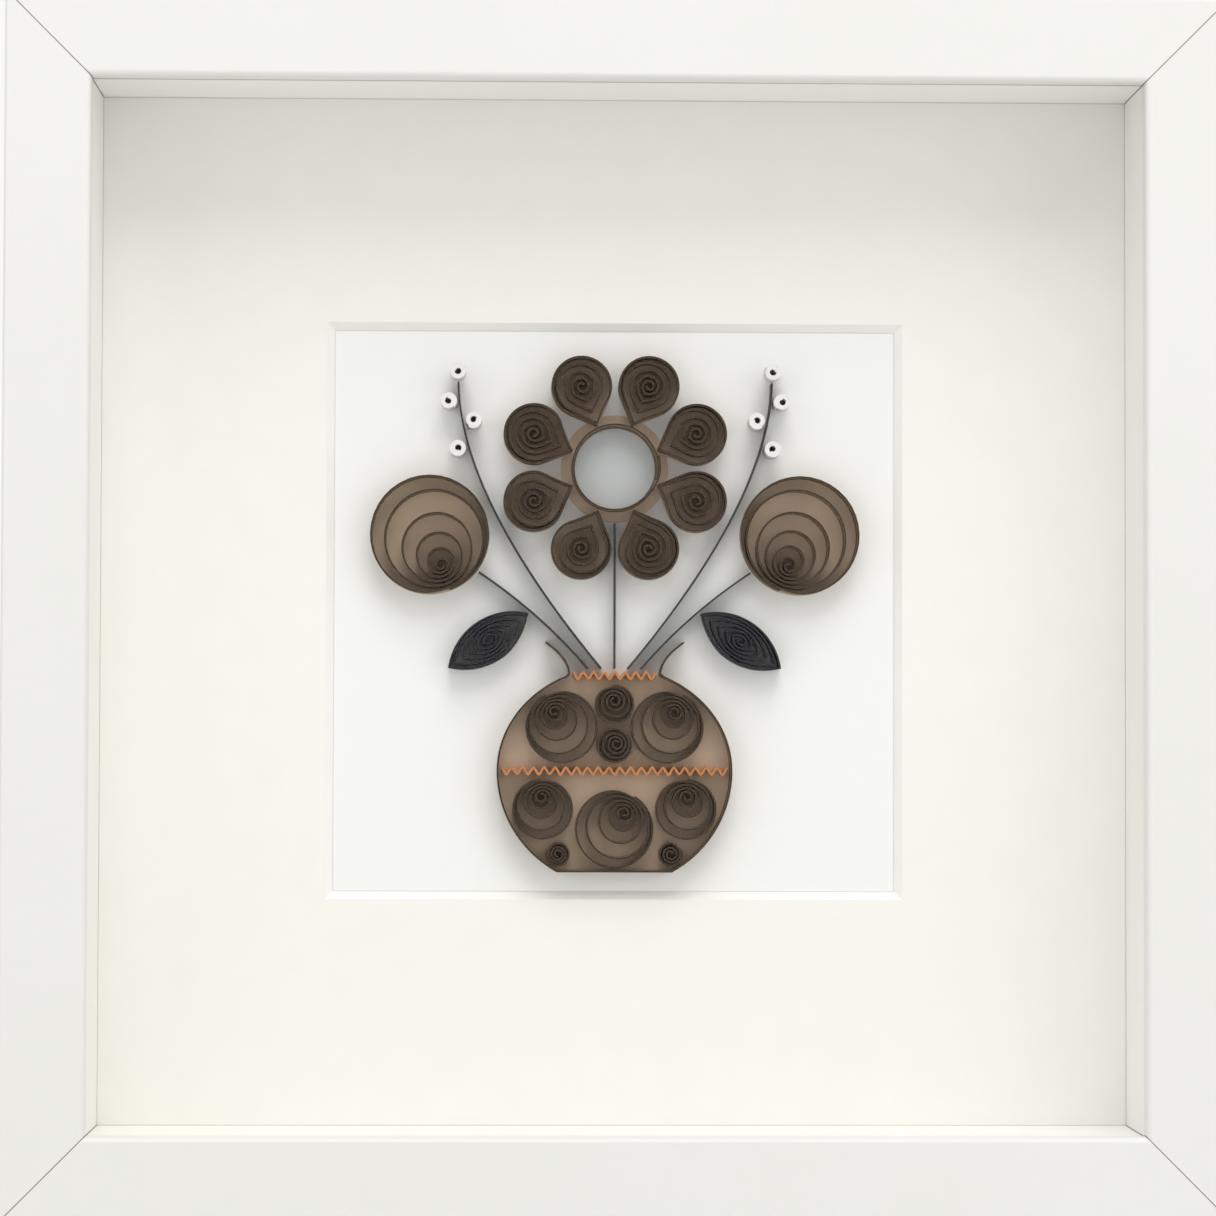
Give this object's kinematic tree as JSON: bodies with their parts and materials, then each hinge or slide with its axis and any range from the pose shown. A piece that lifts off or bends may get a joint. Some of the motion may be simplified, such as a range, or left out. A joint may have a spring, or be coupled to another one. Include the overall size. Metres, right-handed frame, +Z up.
{
  "type": "framed quilled paper art",
  "caption": "Deep white box frame with a bevelled mat around a quilled paper vase of flowers, its strips rolled, pinched and crimped on edge; stands or hangs.",
  "frame": {"origin": "under the middle of the frame, on the surface that its bottom edge stands on", "axes": "+Z up, the picture faces -Y, +X to the viewer's right"},
  "size_m": [0.25, 0.045, 0.25],
  "materials": {
    "frame_white": "white satin foil over fibreboard",
    "spacer_white": "white foil over fibreboard",
    "clear_glazing": "clear",
    "mat_board": "matt, fine paper grain",
    "picture_card": "matt white card",
    "hardboard": "brown pressed fibre",
    "zinc_steel": "zinc plated",
    "paper_taupe": "matt paper",
    "paper_brown": "matt paper",
    "paper_slate": "matt paper",
    "paper_copper": "paper with a metallic copper face",
    "paper_pale": "matt paper",
    "paper_white": "matt paper",
    "paper_black": "matt paper"
  },
  "bodies": {
    "root": {"back_board": "hardboard", "belly_band": "paper_copper", "bloom_disc": "paper_pale", "bloom_floor": "paper_taupe", "bloom_ring": "paper_brown", "bud_left_1": "paper_white", "bud_left_2": "paper_white", "bud_left_3": "paper_white", "bud_left_4": "paper_white", "bud_right_1": "paper_white", "bud_right_2": "paper_white", "bud_right_3": "paper_white", "bud_right_4": "paper_white", "corner_v_nails": "zinc_steel", "frame_rail_bottom": "frame_white", "frame_rail_left": "frame_white", "frame_rail_right": "frame_white", "frame_rail_top": "frame_white", "glazing_sheet": "clear_glazing", "hanger_rivets": "zinc_steel", "leaf_left": "paper_black", "leaf_right": "paper_black", "neck_band": "paper_copper", "petal_1": "paper_brown", "petal_2": "paper_brown", "petal_3": "paper_brown", "petal_4": "paper_brown", "petal_5": "paper_brown", "petal_6": "paper_brown", "petal_7": "paper_brown", "petal_8": "paper_brown", "picture_card": "picture_card", "retaining_tabs": "zinc_steel", "sawtooth_hanger": "zinc_steel", "side_bloom_left": "paper_brown", "side_bloom_right": "paper_brown", "side_floor_left": "paper_taupe", "side_floor_right": "paper_taupe", "spacer_bottom": "spacer_white", "spacer_left": "spacer_white", "spacer_right": "spacer_white", "spacer_top": "spacer_white", "stem_centre": "paper_slate", "stem_side_left": "paper_slate", "stem_side_right": "paper_slate", "stem_sprig_left": "paper_slate", "stem_sprig_right": "paper_slate", "vase_coil_1": "paper_brown", "vase_coil_2": "paper_brown", "vase_coil_3": "paper_brown", "vase_coil_4": "paper_brown", "vase_coil_5": "paper_brown", "vase_coil_6": "paper_brown", "vase_coil_7": "paper_brown", "vase_coil_8": "paper_brown", "vase_coil_9": "paper_brown", "vase_floor": "paper_taupe", "vase_wall": "paper_brown", "window_mat": "mat_board"}
  },
  "joints": []
}
